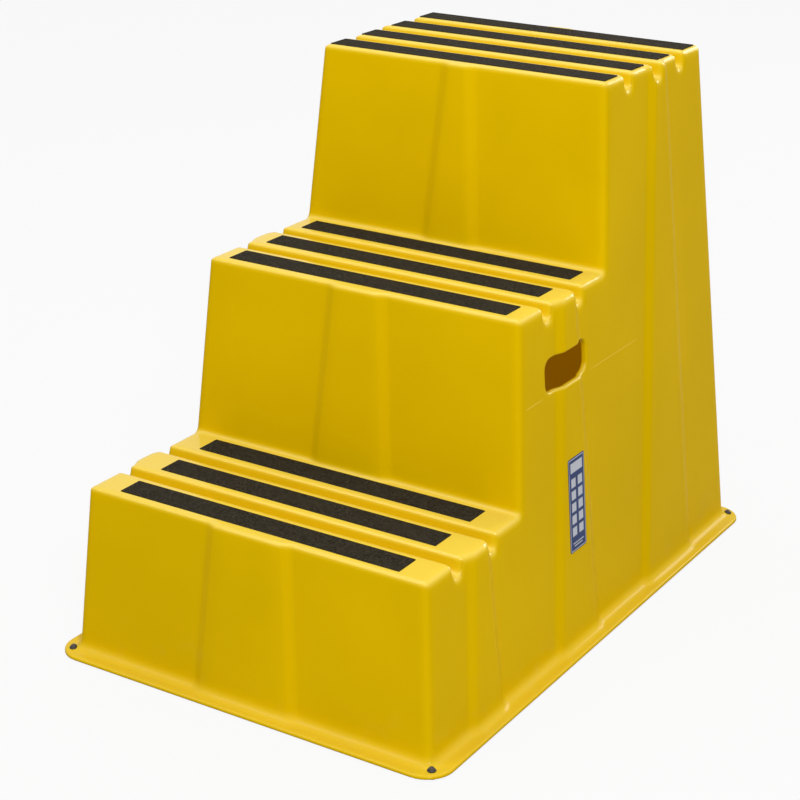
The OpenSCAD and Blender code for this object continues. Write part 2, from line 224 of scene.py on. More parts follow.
class Block:
    """The body's shape: rounded distances to its skin, and the lines its grid follows."""

    def __init__(self, s):
        self.s = s
        self.heights = [s.low_tread_height, s.mid_tread_height, s.block_height]
        depth = (s.low_tread_depth + s.mid_tread_depth + s.top_tread_depth
                 + (s.riser_lean + s.back_lean) * s.block_height)
        self.depth = depth
        self.bases = [0.0, self.heights[0], self.heights[1]]
        y1 = -depth / 2
        n1 = y1 + s.riser_lean * self.heights[0]
        y2 = n1 + s.low_tread_depth
        n2 = y2 + s.riser_lean * (self.heights[1] - self.heights[0])
        y3 = n2 + s.mid_tread_depth
        n3 = y3 + s.riser_lean * (self.heights[2] - self.heights[1])
        self.risers = [y1, y2, y3]
        self.noses = [n1, n2, n3]
        self.back = depth / 2
        self.ends = [y2, y3, self.back - s.back_lean * s.block_height]
        self.mids = [(a + b) / 2 for a, b in zip(self.noses, self.ends)]
        self.ribs = [m + s.side_rib_shift for m in self.mids]
        self.counts = [3, 3, 4]
        self.pitches = [(b - a + s.groove_width) / n for a, b, n in zip(self.noses, self.ends, self.counts)]
        self.grooves = [m + (np.arange(n - 1) - (n - 2) / 2) * p
                        for m, n, p in zip(self.mids, self.counts, self.pitches)]
        self.flange_top = s.flange_low + s.flange_thick
        self.flange_x = s.base_width / 2 + 0.022
        self.flange_y = depth / 2 + 0.022
        self.slot_y = self.mids[1]
        self.slot_z = self.heights[1] - s.slot_drop

    def half_width(self, z):
        """Half the base width less the side lean times the height."""
        return self.s.base_width / 2 - self.s.side_lean * z

    def side_rib(self, y, z):
        """Height of the side ribs above the wall: a ramp across each flank, from a half width that
        grows with the drop below the rib's own tread."""
        s = self.s
        rise = 0.0
        for mid, top in zip(self.ribs, self.heights):
            half = s.side_rib_half + s.rib_flare * (top - z)
            rise = np.maximum(rise, soft_ramp((half - np.abs(y - mid)) / s.rib_flank, 0.22))
        return s.rib_height * rise

    def front_rib_edge(self, z):
        """Half width of the front and back ribs at height z."""
        return self.s.front_rib_half + self.s.rib_flare * (self.s.block_height - z)

    def end_rib(self, x, z):
        """Height of the front and back ribs above their walls, as side_rib but about x = 0."""
        s = self.s
        return s.rib_height * soft_ramp((self.front_rib_edge(z) - np.abs(x)) / s.rib_flank, 0.22)

    def wall_x(self, y, z):
        """Outward place of the side wall at (y, z), rib included."""
        return self.half_width(z) + self.side_rib(y, z)

    def body(self, p):
        """Distance to the stepped body without its flange: each step is the rounded larger of its
        riser and tread planes, the steps join by the rounded smaller, and the back wall, grooves
        and side walls cut them by the rounded larger."""
        s = self.s
        x, y, z = p[..., 0], p[..., 1], p[..., 2]
        rib = self.end_rib(x, z)
        stair = None
        for riser, base, top in zip(self.risers, self.bases, self.heights):
            front = (riser + s.riser_lean * (z - base) - rib - y) / math.hypot(1, s.riser_lean)
            step = round_max(front, z - top, s.nosing_radius)
            stair = step if stair is None else round_min(stair, step, s.foot_radius)
        rear = (y - (self.back - s.back_lean * z) - rib) / math.hypot(1, s.back_lean)
        stair = round_max(stair, rear, s.nosing_radius)
        slope = (s.groove_width - s.groove_floor) / 2 / s.groove_depth
        for centres, top in zip(self.grooves, self.heights):
            for centre in centres:
                lift = z - (top - s.groove_depth)
                gap = round_max(np.abs(y - centre) - (s.groove_floor / 2 + slope * lift), -lift, 0.0045)
                stair = round_max(stair, -gap, 0.0036)
        side = (np.abs(x) - self.wall_x(y, z)) / math.hypot(1, s.side_lean)
        return round_max(side, stair, s.corner_radius)

    def skin(self, p):
        """Distance to the outer skin: the body and the rounded flange plate joined by the sweep."""
        s = self.s
        r = s.flange_radius
        qx = np.abs(p[..., 0]) - (self.flange_x - r)
        qy = np.abs(p[..., 1]) - (self.flange_y - r)
        plan = np.hypot(np.maximum(qx, 0), np.maximum(qy, 0)) + np.minimum(np.maximum(qx, qy), 0) - r
        plate = round_max(plan, p[..., 2] - self.flange_top, s.flange_edge)
        return round_min(self.body(p), plate, s.sweep_radius)

    def slope(self, shape, p):
        """Value and gradient of a distance by central differences over 0.02 mm."""
        e = 2e-5
        grad = np.stack([(shape(p + d) - shape(p - d)) / (2 * e) for d in np.eye(3) * e], axis=-1)
        return shape(p), grad

    def settle(self, shape, p, level=0.0, hold_z=None, steps=9):
        """Points moved along the gradient until the distance is the level; rows marked in hold_z
        keep their height."""
        p = p.copy()
        for _ in range(steps):
            value, grad = self.slope(shape, p)
            if hold_z is not None:
                grad[..., 2] = np.where(hold_z, 0.0, grad[..., 2])
            size = np.maximum((grad ** 2).sum(-1), 1e-3)
            move = ((value - level) / size)[..., None] * grad
            reach = np.maximum(np.linalg.norm(move, axis=-1, keepdims=True) / 0.008, 1.0)
            p -= move / reach
        return p

    # Lines that the grid follows

    def tread_path(self, i):
        """Samples (y, z) along the sharp outline of tread i, with its grooves, and the edges of its
        side rib and hand slot among them."""
        s = self.s
        top = self.heights[i]
        ys, zs = [self.noses[i]], [top]
        for centre in self.grooves[i]:
            ys += [centre - s.groove_width / 2, centre - s.groove_floor / 2,
                   centre + s.groove_floor / 2, centre + s.groove_width / 2]
            zs += [top, top - s.groove_depth, top - s.groove_depth, top]
        ys.append(self.ends[i])
        zs.append(top)
        marks = self.ribs[i] + np.array([-1, -1, 1, 1]) * (s.side_rib_half - np.array([0, 1, 1, 0]) * s.rib_flank)
        keys = np.unique(np.concatenate([ys, marks]))
        key_z = np.interp(keys, ys, zs)
        out = []
        for a, b, c, d in zip(keys[:-1], keys[1:], key_z[:-1], key_z[1:]):
            length = math.hypot(b - a, d - c)
            t = spaced(0.0, length, s.fine, s.coarse) / length
            out.append(np.stack([a + (b - a) * t, c + (d - c) * t], axis=-1)[:-1])
        out.append(np.array([[keys[-1], key_z[-1]]]))
        return np.concatenate(out)

    def levels(self, i):
        """Row heights from the foot of riser i to its tread, closer together past the hand slot."""
        s = self.s
        low = self.flange_top if i == 0 else self.heights[i - 1]
        if i != 1:
            return spaced(low, self.heights[i], s.fine, s.coarse)
        a, b = self.slot_z - 0.046, self.slot_z + 0.040
        return np.concatenate([spaced(low, a, s.fine, s.coarse)[:-1], np.linspace(a, b, 17)[:-1],
                               spaced(b, self.heights[1], s.fine, s.coarse)])

    def outline(self):
        """Samples (y, z) of the whole stepped outline, from the front of the flange over the treads
        to its back, and the number of the first sample of each tread."""
        s = self.s
        parts, starts, count = [], [], 0
        for i in range(3):
            z = self.levels(i)
            riser = np.stack([self.riser_y(i, z), z], axis=-1)[:-1]
            tread = self.tread_path(i)
            starts.append(count + len(riser))
            parts += [riser, tread[:-1]]
            count += len(riser) + len(tread) - 1
        z = np.concatenate([self.levels(0)[:-1], self.levels(1)[:-1], self.levels(2)])[::-1]
        parts.append(np.stack([self.back - s.back_lean * z, z], axis=-1))
        return np.concatenate(parts), starts

    def riser_y(self, i, z):
        """Place of riser i at heights z, straight down below its foot."""
        base = self.bases[i]
        return self.risers[i] + self.s.riser_lean * np.maximum(z - base, 0.0)

    def guides(self, i, z):
        """Places y of the lines that the grid below tread i follows, at heights z: its riser, the
        four edges of its side rib, and the next riser or the back wall."""
        s = self.s
        half = s.side_rib_half + s.rib_flare * (self.heights[i] - z)
        mid = self.ribs[i]
        last = self.riser_y(i + 1, z) if i < 2 else self.back - s.back_lean * z
        return [self.riser_y(i, z), mid - half, mid - half + s.rib_flank,
                mid + half - s.rib_flank, mid + half, last]

    def across(self, z):
        """Places x across the block at heights z: fine at the side edges and the rib edges, held as
        shares between the wall and rib lines so that they follow both."""
        s = self.s
        top = self.heights[2]
        wall, edge = self.half_width(top), self.front_rib_edge(top)
        flat = spaced(0.0, wall - edge, s.fine, s.coarse) / (wall - edge)
        flank = np.array([0.0, 0.25, 0.5, 0.75, 1.0])
        crown = np.array([0.0, 0.35, 1.0])
        wall, edge = self.half_width(z)[:, None], self.front_rib_edge(z)[:, None]
        inner = edge - s.rib_flank
        left = np.concatenate([-wall + (wall - edge) * flat, -edge + s.rib_flank * flank[1:],
                               -inner + inner * crown[1:]], axis=1)
        return np.concatenate([left, -left[:, -2::-1]], axis=1)

    # Sheets of the grid, with sharp edges

    def stair_sheet(self):
        """The risers, treads, grooves and back wall: samples of the outline carried across X, each
        moved out by its rib, a share that fades to nothing 20 mm inside each edge of a tread."""
        path, _ = self.outline()
        y, z = path[:, :1], path[:, 1:]
        x = self.across(path[:, 1])
        y, z = np.broadcast_to(y, x.shape), np.broadcast_to(z, x.shape)
        ahead, behind = np.zeros_like(x), np.zeros_like(x)
        for i in range(3):
            tread = (z > self.heights[i] - 0.020) & (y >= self.noses[i] - 1e-9) & (y <= self.ends[i] + 1e-9)
            riser = (y <= self.riser_y(i, z) + 1e-9) & (z <= self.heights[i] + 1e-9) & (z >= self.bases[i] - 1e-9)
            riser &= y >= self.riser_y(i, z) - 1e-6
            ahead = np.maximum(ahead, np.where(riser, 1.0, 0.0))
            ahead = np.maximum(ahead, np.where(tread, np.clip(1 - (y - self.noses[i]) / 0.02, 0, 1), 0.0))
            end = np.where(tread, np.clip(1 - (self.ends[i] - y) / 0.02, 0, 1), 0.0)
            if i < 2:
                ahead = np.maximum(ahead, end)
            else:
                behind = np.maximum(behind, end)
        behind = np.maximum(behind, np.where(y >= self.back - self.s.back_lean * z - 1e-6, 1.0, 0.0))
        edge = np.clip(1 - (self.half_width(z) - np.abs(x)) / 0.02, 0, 1)
        out = np.sign(x) * self.side_rib(y, z) * edge
        return np.stack([x + out, y + self.end_rib(x, z) * (behind - ahead), z], axis=-1)

    def side_sheet(self, i):
        """The right wall below tread i: columns from the tread's samples down to the flange, each
        keeping its share between its two guide lines, and rows at the riser's heights, drawn down
        under the grooves."""
        path = self.tread_path(i)
        rows = [self.levels(k) for k in range(i + 1)]
        fixed = np.concatenate([r[:-1] for r in rows[:-1]]) if i else np.zeros(0)
        last = rows[-1]
        top = last[-1]
        hold = self.slot_z + 0.040 if i == 1 else last[0]
        stretch = (path[:, 1] - hold) / (top - hold)
        drawn = np.where(last[:, None] > hold, hold + (last[:, None] - hold) * stretch, last[:, None])
        z = np.concatenate([np.broadcast_to(fixed[:, None], (len(fixed), len(path))), drawn], axis=0)
        at_top = [float(g) for g in self.guides(i, np.array(top))]
        span = np.clip(np.searchsorted(at_top, path[:, 0], side="right") - 1, 0, 4)
        edges = np.array(at_top)
        share = (path[:, 0] - edges[span]) / (edges[span + 1] - edges[span])
        lines = np.stack(self.guides(i, z), axis=0)
        pick = np.arange(len(path))
        a, b = lines[span, :, pick].T, lines[span + 1, :, pick].T
        y = a + (b - a) * share
        y[-1] = path[:, 0]
        return np.stack([self.half_width(z) + self.side_rib(y, z), y, z], axis=-1)

    # The two skins

    def flange_ring(self, foot, end, out, inner_foot):
        """Rows of the flange round the block: from the foot of the walls to the rounded edge, an arc
        over it, down its side and back underneath to the inner wall."""
        s = self.s
        r = s.flange_edge
        flat = end - out * r
        shares = np.array([0.0, 0.09, 0.2, 0.33, 0.48, 0.64, 0.82])[:, None, None]
        top = foot[:, :2] + (flat - foot[:, :2]) * shares
        rows = list(self.settle(self.skin, self.at_height(top, self.flange_top)))
        for a in np.linspace(0, math.pi / 2, 5):
            rows.append(self.at_height(flat + out * r * math.sin(a), self.flange_top - r * (1 - math.cos(a))))
        for share in (0.0, 0.35, 0.7):
            rows.append(self.at_height(end + (inner_foot[:, :2] - end) * share, s.flange_low))
        rows.append(inner_foot)
        return np.stack(rows)

    def at_height(self, plan, z):
        """Plan points given one height."""
        return np.concatenate([plan, np.full(plan.shape[:-1] + (1,), z)], axis=-1)

    def strip_end(self, along, centre_along, centre_cross):
        """Flange outline straight out from a wall: the distance out and the outward direction at each
        place along it, on the straight side or, past the corner centre, on the corner circle."""
        r = self.s.flange_radius
        extra = np.maximum(np.abs(along) - centre_along, 0.0)
        reach = np.sqrt(r * r - extra * extra)
        return centre_cross + reach, np.sign(along) * extra / r, reach / r

    def round_flange(self, front, right, back, inner_rows):
        """Foot points, flange outline points and outward directions once round the block, from the
        front wall's foot over the right wall, the back wall and the left wall, with a fan of points
        at each corner."""
        r = self.s.flange_radius
        cx, cy = self.flange_x - r, self.flange_y - r
        mirror = np.array([-1.0, 1.0, 1.0])
        feet, ends, outs, inners = [], [], [], []
        walls = [(front, 0, -1), (right, 1, 1), (back[::-1], 0, 1), ((right * mirror)[::-1], 1, -1)]
        for k, (wall, axis, way) in enumerate(walls):
            centre = (cx, cy)[axis], (cy, cx)[axis]
            reach, n_along, n_cross = self.strip_end(wall[:, axis], *centre)
            end, out = np.zeros((len(wall), 2)), np.zeros((len(wall), 2))
            end[:, axis], end[:, 1 - axis] = wall[:, axis], way * reach
            out[:, axis], out[:, 1 - axis] = n_along, way * n_cross
            feet.append(wall)
            ends.append(end)
            outs.append(out)
            inners.append(inner_rows[k])
        loop = [[], [], [], []]
        for k in range(4):
            a0 = math.atan2(outs[k][-1, 1], outs[k][-1, 0])
            a1 = math.atan2(outs[(k + 1) % 4][0, 1], outs[(k + 1) % 4][0, 0])
            turn = a0 + np.linspace(0, (a1 - a0) % (2 * math.pi), 8)[1:-1]
            out = np.stack([np.cos(turn), np.sin(turn)], axis=-1)
            corner = np.array([(cx, -cy), (cx, cy), (-cx, cy), (-cx, -cy)][k])
            for store, wall, fan in zip(loop, (feet[k], ends[k], outs[k], inners[k]),
                                        (np.repeat(feet[k][-1:], 6, 0), corner + out * r, out,
                                         np.repeat(inners[k][-1:], 6, 0))):
                store += [wall, fan]
        return [np.concatenate(part) for part in loop]

    def slot_ring(self, outer, inner, rows, cols):
        """The hand slot from the wall round its turned-in lip to the inner skin: rows at a set
        distance outside the rounded slot, with a quarter circle for the lip, a straight tunnel, a
        half circle at its end and the collar's outside back to the inner skin."""
        s = self.s
        (r0, r1), (c0, c1) = rows, cols
        def loop(grid):
            return np.concatenate([grid[r0, c0:c1], grid[r0:r1, c1], grid[r1, c1:c0:-1], grid[r1:r0:-1, c0]])
        rim, inside = loop(outer), loop(inner)
        centre = np.array([self.slot_y, self.slot_z])
        far = rim[:, 1:] - centre
        core = np.clip(far, *np.array([[-1], [1]]) * (np.array([s.slot_length, s.slot_height]) / 2 - s.slot_radius))
        away = far - core
        span = np.linalg.norm(away, axis=1, keepdims=True)
        away /= span
        span -= s.slot_radius
        def at(d, depth):
            yz = centre + core + (s.slot_radius + d) * away
            x = self.half_width(yz[:, 1]) + self.side_rib(yz[:, 0], yz[:, 1]) - depth
            return np.concatenate([x[:, None], yz], axis=-1)
        lip, half = s.lip_radius, s.wall / 2
        skin = s.wall * math.hypot(1, s.side_lean)
        path = [at(span + (lip - span) * t, 0.0) for t in (0.3, 0.6, 0.85, 1.0)]
        path += [at(lip * (1 - math.sin(a)), lip * (1 - math.cos(a))) for a in np.linspace(0, math.pi / 2, 6)[1:]]
        path += [at(half * (1 - math.cos(a)), s.lip_depth - half + half * math.sin(a))
                 for a in np.linspace(0, math.pi, 6)]
        near = at(s.wall, skin)
        path.append(near)
        for t in (0.5, 1.0):
            yz = near[:, 1:] + (inside[:, 1:] - near[:, 1:]) * t
            x = self.half_width(yz[:, 1]) + self.side_rib(yz[:, 0], yz[:, 1]) - skin
            path.append(np.concatenate([x[:, None], yz], axis=-1))
        path[-1] = inside
        return wrap(np.stack([rim] + path))

    def patches(self):
        """Every patch of the moulding: outer and inner skins of the stair and side sheets, with the
        slots left out, the slot rings and the flange."""
        s = self.s
        mirror = np.array([-1.0, 1.0, 1.0])
        stair = self.stair_sheet()
        sides = [self.side_sheet(i) for i in range(3)]
        outer = [self.settle(self.skin, g) for g in [stair] + sides]
        low = []
        for g in [stair] + sides:
            g = g.copy()
            hold = g[..., 2] <= self.flange_top + 1e-9
            g[..., 2] = np.where(hold, s.flange_low, g[..., 2])
            low.append(self.settle(self.body, g, -s.wall, hold))
        y, z = sides[1][0, :, 1], sides[1][:, 0, 2]
        levels = np.concatenate([self.levels(0)[:-1], self.levels(1)])
        rows = [int(np.argmin(np.abs(levels - v))) for v in (self.slot_z - 0.046, self.slot_z + 0.040)]
        place = sides[1][rows[1], :, 1]
        cols = [int(np.argmin(np.abs(place - v))) for v in (self.slot_y - 0.076, self.slot_y + 0.076)]
        keep = np.ones((sides[1].shape[0] - 1, sides[1].shape[1] - 1), bool)
        keep[rows[0]:rows[1], cols[0]:cols[1]] = False
        ring = self.slot_ring(outer[2], low[2], rows, cols)
        out = [outer[0], low[0], ring, ring * mirror]
        for grids in (outer[1:], low[1:]):
            for i, g in enumerate(grids):
                out += [(g, keep) if i == 1 else g, (g * mirror, keep) if i == 1 else g * mirror]
        right = np.concatenate([sides[0][0], sides[1][0, 1:], sides[2][0, 1:]])
        inner_right = np.concatenate([low[1][0], low[2][0, 1:], low[3][0, 1:]])
        inner_rows = [low[0][0], inner_right, low[0][-1][::-1], (inner_right * mirror)[::-1]]
        out.append(wrap(self.flange_ring(*self.round_flange(stair[0], right, stair[-1], inner_rows))))
        return out

    def bend(self, p, h=0.004):
        """How convex the body is at each point: the mean of its distance 4 mm away along the three
        axes, less the distance at the point, over h."""
        around = sum(self.body(p + d) + self.body(p - d) for d in np.eye(3) * h)
        return (around - 6 * self.body(p)) / (6 * h)


def slab_rings(length, width, thick, plan_r, edge_r, turns=40):
    """A thin rounded slab lying on z = 0: rings of a rounded rectangle, where ring k is the outline
    set in by inset[k] and raised by lift[k], from the middle of the underside over the edge to the
    middle of the top."""
    a = np.linspace(0, math.pi / 2, 6)
    rolls = edge_r * (1 - np.cos(a))
    inset = np.concatenate([[width / 2 - 1e-4, 0.0], [0.0], edge_r - edge_r * np.cos(a[1:]),
                            np.array([0.15, 0.45, 1.0]) * (width / 2 - 1e-4 - edge_r) + edge_r])
    lift = np.concatenate([[0.0, 0.0], [thick - edge_r], thick - edge_r + edge_r * np.sin(a[1:]),
                           np.full(3, thick)])
    q = np.linspace(0, math.pi / 2, turns // 4)
    run = np.linspace(-1, 1, 24)[1:-1]
    half_l, half_w = length / 2 - plan_r, width / 2 - plan_r
    corner = np.stack([np.cos(q), np.sin(q)], axis=-1)
    spans, offsets = [], []
    for k, (sx, sy) in enumerate(((1, 1), (-1, 1), (-1, -1), (1, -1))):
        turn = np.array([[0, -1], [1, 0]])
        c = corner @ np.linalg.matrix_power(turn, k).T
        spans.append(np.repeat([[sx * half_l, sy * half_w]], len(q), axis=0))
        offsets.append(c)
        if k in (0, 2):
            spans.append(np.stack([-run * half_l * (1 if k == 0 else -1), np.full(len(run), sy * half_w)], -1))
            offsets.append(np.repeat([[0.0, sy]], len(run), axis=0))
    centre, out = np.concatenate(spans), np.concatenate(offsets)
    grow = plan_r - inset[:, None, None]
    share = 1 + np.minimum(grow, 0) / np.array([half_l, half_w])
    xy = centre * share + np.maximum(grow, 0) * out
    return np.concatenate([xy, np.broadcast_to(lift[:, None, None], xy.shape[:2] + (1,))], axis=-1)


def lathe(profile, turns):
    """A profile of (radius, height) pairs carried once round the Z axis."""
    a = np.linspace(0, 2 * math.pi, turns, endpoint=False)
    r, h = profile[:, 0][:, None], profile[:, 1][:, None]
    return np.stack([r * np.cos(a), r * np.sin(a), np.broadcast_to(h, (len(profile), turns))], axis=-1)


def wrap(grid):
    """The first column of a grid repeated after its last, to close it round."""
    return np.concatenate([grid, grid[:, :1]], axis=1)


def make_piece(name, patches, caps=()):
    """A mesh object from patches of points (rows, columns, 3) with optional kept quads, welded along
    their shared edges, closed and with its faces turned outwards."""
    points, quads, count = [], [], 0
    for patch in patches:
        grid, keep = patch if isinstance(patch, tuple) else (patch, None)
        rows, cols = grid.shape[:2]
        quads.append(grid_quads(rows, cols, keep) + count)
        points.append(grid.reshape(-1, 3))
        count += rows * cols
    mesh = bpy.data.meshes.new(name)
    mesh.from_pydata(np.concatenate(points).tolist(), [], np.concatenate(quads).tolist())
    bm = bmesh.new()
    bm.from_mesh(mesh)
    bmesh.ops.remove_doubles(bm, verts=bm.verts, dist=2e-6)
    bmesh.ops.dissolve_degenerate(bm, edges=bm.edges, dist=1e-7)
    loose = [v for v in bm.verts if not v.link_faces]
    bmesh.ops.delete(bm, geom=loose, context="VERTS")
    holes = [e for e in bm.edges if e.is_boundary]
    if holes:
        bmesh.ops.holes_fill(bm, edges=holes, sides=0)
    bmesh.ops.recalc_face_normals(bm, faces=bm.faces)
    if bm.calc_volume(signed=True) < 0:
        bmesh.ops.reverse_faces(bm, faces=bm.faces)
    bm.to_mesh(mesh)
    bm.free()
    mesh.polygons.foreach_set("use_smooth", np.ones(len(mesh.polygons), dtype=bool))
    mesh.update()
    piece = bpy.data.objects.new(name, mesh)
    bpy.context.scene.collection.objects.link(piece)
    return piece


def open_edges(piece):
    """How many edges of a piece lie on only one face."""
    bm = bmesh.new()
    bm.from_mesh(piece.data)
    n = sum(e.is_boundary or not e.is_manifold for e in bm.edges)
    bm.free()
    return n


# ---------------------------------------------------------------- finishes


class Wire:
    """A value socket in a material, with arithmetic that adds its Math nodes."""

    def __init__(self, tree, socket):
        self.tree, self.socket = tree, socket

    def math(self, operation, *values):
        """A Math node of these values, in order."""
        node = self.tree.nodes.new("ShaderNodeMath")
        node.operation = operation
        for slot, value in zip(node.inputs, values):
            plug(self.tree, slot, value)
        return Wire(self.tree, node.outputs[0])

    def __add__(self, other):
        return self.math("ADD", self, other)

    def __radd__(self, other):
        return self.math("ADD", other, self)

    def __sub__(self, other):
        return self.math("SUBTRACT", self, other)

    def __rsub__(self, other):
        return self.math("SUBTRACT", other, self)

    def __mul__(self, other):
        return self.math("MULTIPLY", self, other)

    def __rmul__(self, other):
        return self.math("MULTIPLY", other, self)

    def __abs__(self):
        return self.math("ABSOLUTE", self)

    def step(self, low, high):
        """Zero below low, one above high and a smooth rise between; falls where low is above high."""
        node = self.tree.nodes.new("ShaderNodeMapRange")
        node.interpolation_type = "SMOOTHSTEP"
        for slot, value in zip(node.inputs, (self, low, high, 0.0, 1.0)):
            plug(self.tree, slot, value)
        return Wire(self.tree, node.outputs[0])


def plug(tree, slot, value):
    """Links a wire to a socket, or sets the socket's own value."""
    if isinstance(value, Wire):
        tree.links.new(value.socket, slot)
    else:
        slot.default_value = value


class Finish:
    """A material under construction."""

    def __init__(self, name):
        self.material = bpy.data.materials.new(name)
        self.material.use_nodes = True
        self.tree = self.material.node_tree
        self.tree.nodes.clear()

    def node(self, kind, settings=None, inputs=None, output=0):
        """Any node: its type, its settings, the values or wires of its sockets, and the output used."""
        node = self.tree.nodes.new("ShaderNode" + kind)
        for key, value in (settings or {}).items():
            if key == "stops":
                for k, (place, colour) in enumerate(value):
                    stop = node.color_ramp.elements[k] if k < 2 else node.color_ramp.elements.new(place)
                    stop.position, stop.color = place, colour
            else:
                setattr(node, key, value)
        for key, value in (inputs or {}).items():
            plug(self.tree, node.inputs[key], value)
        return Wire(self.tree, node.outputs[output])

    def place(self):
        """Object coordinates, in metres."""
        return self.node("TexCoord", output="Object")

    def axes(self):
        """Object coordinates as three wires."""
        split = self.node("SeparateXYZ", inputs={0: self.place()})
        return [Wire(self.tree, split.socket.node.outputs[k]) for k in range(3)]

    def stretched(self, scale):
        """Object coordinates scaled differently along each axis."""
        return self.node("Mapping", inputs={"Vector": self.place(), "Scale": scale})

    def noise(self, scale, detail=2.0, rough=0.5, vector=None):
        """Fractal noise from 0 to 1."""
        return self.node("TexNoise", inputs={"Vector": vector or self.place(), "Scale": scale,
                                             "Detail": detail, "Roughness": rough})

    def mix(self, share, a, b):
        """Colour a blended into colour b by a share."""
        return self.node("Mix", {"data_type": "RGBA"}, {0: share, 6: colour4(a), 7: colour4(b)}, output=2)

    def bump(self, height, distance, strength=1.0, normal=None):
        """A bump of a height from 0 to 1 times a distance in metres."""
        inputs = {"Strength": strength, "Distance": distance, "Height": height}
        if normal is not None:
            inputs["Normal"] = normal
        return self.node("Bump", inputs=inputs)

    def surface(self, **sockets):
        """The main shader, its sockets named with underscores, and the material output."""
        shader = self.node("BsdfPrincipled", inputs={k.replace("_", " "): v for k, v in sockets.items()})
        self.output(shader)
        return self.material

    def output(self, shader):
        """The material's output fed by a shader."""
        end = self.tree.nodes.new("ShaderNodeOutputMaterial")
        self.tree.links.new(shader.socket, end.inputs[0])


def colour4(value):
    """A colour with its alpha, or a wire as it is."""
    return value if isinstance(value, Wire) else (*tuple(value)[:3], 1.0)


def tint(colour, factor):
    """A colour multiplied by a number or by three."""
    factor = np.broadcast_to(factor, 3)
    return tuple(float(c * f) for c, f in zip(colour, factor))


def plastic_finish(colour):
    """Rotation-moulded yellow plastic: faint clouding, a fine orange-peel skin, light scuffs on the treads
    and a little dust low down, with painted light: a painted sheen on upward faces, a painted highlight on
    rounded edges partly broken into rubbed wear, a painted highlight along the parting line, painted
    shade in the creases and a painted glow on the inner skin."""
    f = Finish("yellow_plastic")
    x, y, z = f.axes()
    cloud = f.noise(5.0, 3.0)
    speck = f.noise(900.0, 1.0)
    bend = f.node("Attribute", {"attribute_name": "bend"}, output="Fac")
    # Noise-broken convex edges: partly rubbed wear, which is rougher, and partly a painted highlight where they blend
    # to a pale yellow.
    edge_wear_and_highlight = bend.step(0.10, 0.42) * f.noise(60.0, 4.0, 0.6).step(0.30, 0.75)
    inside = f.node("Attribute", {"attribute_name": "inside"}, output="Fac")
    base = f.mix(cloud.step(0.30, 0.72), tint(colour, 0.965), tint(colour, 1.03))
    base = f.mix(speck.step(0.60, 0.80) * 0.05, base, tint(colour, 1.25))
    facing = f.node("NewGeometry", output="Normal")
    split = f.node("SeparateXYZ", inputs={0: facing})
    upward = Wire(f.tree, split.socket.node.outputs[2])
    raised = z.step(0.008, 0.045) * 0.65 + 0.35
    # Painted sheen: upward faces blend to a paler, less saturated yellow, standing in for the reflection of the bright
    # surroundings on the treads; less of it low on the flange and none on the inner skin.
    base = f.mix(upward.step(0.10, 0.85) * (1 - inside) * raised, base, (0.715, 0.515, 0.055))
    # Painted highlight: convex rounded edges blend to a paler yellow, standing in for the light they catch.
    base = f.mix(bend.step(0.06, 0.30) * 0.30, base, (0.80, 0.57, 0.06))
    # Painted highlight mixed with rubbed wear: the noise-broken edges blend to a pale yellow.
    base = f.mix(edge_wear_and_highlight * 0.15, base, (0.86, 0.64, 0.10))
    dust = f.noise(22.0, 5.0, 0.65).step(0.50, 0.85) * z.step(0.10, 0.004)
    base = f.mix(dust * 0.10, base, (0.55, 0.44, 0.22))
    # Painted shade: concave creases and corners blend to a darker, browner copy of the plastic.
    hollow = bend.step(-0.06, -0.30)
    base = f.mix(hollow * 0.16, base, tint(colour, (0.72, 0.66, 0.5)))
    # Painted highlight along the mould's parting line on the side walls: a thin paler line, with no relief of its own.
    seam_highlight = abs(z - 0.352).step(0.0014, 0.0005) * abs(x).step(0.200, 0.215)
    seam_highlight = seam_highlight * (abs(y + 0.1355).step(0.024, 0.014) + abs(y - 0.0735).step(0.074, 0.050))
    base = f.mix(seam_highlight * 0.35, base, (0.83, 0.62, 0.10))
    scuff = f.noise(1.0, 4.0, 0.62, f.stretched((18.0, 240.0, 240.0))).step(0.60, 0.74)
    peel = f.noise(420.0, 2.0)
    wave = f.noise(11.0, 1.0)
    rough = 0.28 + cloud * 0.05 + scuff * 0.06 + edge_wear_and_highlight * 0.05
    polish = upward.step(0.30, 0.90) * 0.55 + bend.step(0.10, 0.40) * upward.step(0.0, 0.5) * 0.5
    polish = polish * (1 - scuff * 0.35) * raised
    # Painted glow: the inner skin emits a dim amber light, standing in for light passing through the walls.
    glow = f.mix(inside, (0.0, 0.0, 0.0), (0.090, 0.046, 0.0))
    normal = f.bump(peel, 0.00006, 0.5)
    normal = f.bump(wave, 0.0016, 0.25, normal)
    normal = f.bump(scuff, 0.00003, 0.5, normal)
    return f.surface(Base_Color=base, Roughness=rough, Normal=normal, Specular_IOR_Level=0.01,
                     Coat_Weight=polish, Coat_Roughness=0.12, Coat_IOR=1.5,
                     Emission_Color=glow, Emission_Strength=1.0)


